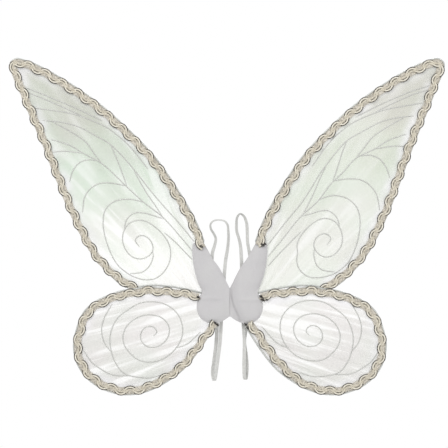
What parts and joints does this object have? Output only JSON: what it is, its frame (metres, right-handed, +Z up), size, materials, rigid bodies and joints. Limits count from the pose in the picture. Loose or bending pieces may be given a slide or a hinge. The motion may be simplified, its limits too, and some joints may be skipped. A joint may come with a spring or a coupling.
{
  "type": "fairy wings",
  "caption": "Butterfly-shaped costume wings: wire-framed clear film edged with gimp braid, felt centre pads that fold about a seam, and elastic arm straps.",
  "frame": {"origin": "middle of the centre seam, on the mid-plane between the front and back panels", "axes": "+X to the wearer's right, +Z up when worn, -Y the way the decorated face looks, so the wearer's back is on the +Y side"},
  "size_m": [0.6174, 0.0241, 0.4792],
  "materials": {
    "steel_wire": "bright drawn wire",
    "crimp_sleeve": "crimped",
    "tinted_film": "iridescent, clear with a green tint",
    "clear_film": "iridescent, clear",
    "gimp_braid": "cream gimp with a serpentine metallic cord",
    "felt": "soft grey-lavender felt",
    "seam_binding": "stitched felt",
    "elastic": "woven flat elastic",
    "dark_thread": "knotted thread",
    "white_thread": "bar-tack stitches"
  },
  "bodies": {
    "centre": {"centre_seam": "seam_binding"},
    "left": {"left_upper_wire": "steel_wire", "left_lower_wire": "steel_wire", "left_upper_film": "tinted_film", "left_lower_film": "clear_film", "left_upper_braid": "gimp_braid", "left_lower_braid": "gimp_braid", "left_front_panel": "felt", "left_back_panel": "felt", "left_upper_ferrule": "crimp_sleeve", "left_lower_ferrule": "crimp_sleeve", "left_braid_knot_top": "dark_thread", "left_braid_knot_side": "dark_thread", "left_braid_knot_bottom": "dark_thread", "left_strap_tack_top": "white_thread", "left_strap_tack_bottom": "white_thread", "left_strap": "elastic"},
    "right": {"right_upper_wire": "steel_wire", "right_lower_wire": "steel_wire", "right_upper_film": "tinted_film", "right_lower_film": "clear_film", "right_upper_braid": "gimp_braid", "right_lower_braid": "gimp_braid", "right_front_panel": "felt", "right_back_panel": "felt", "right_upper_ferrule": "crimp_sleeve", "right_lower_ferrule": "crimp_sleeve", "right_braid_knot_top": "dark_thread", "right_braid_knot_side": "dark_thread", "right_braid_knot_bottom": "dark_thread", "right_strap_tack_top": "white_thread", "right_strap_tack_bottom": "white_thread", "right_strap": "elastic"}
  },
  "joints": [
    {"name": "left_fold", "type": "hinge", "parent": "centre", "child": "left", "pos_m": [0, 0, 0], "axis": [0, 0, 1], "range_deg": [-25, 70]},
    {"name": "right_fold", "type": "hinge", "parent": "centre", "child": "right", "pos_m": [0, 0, 0], "axis": [0, 0, -1], "range_deg": [-25, 70]}
  ]
}
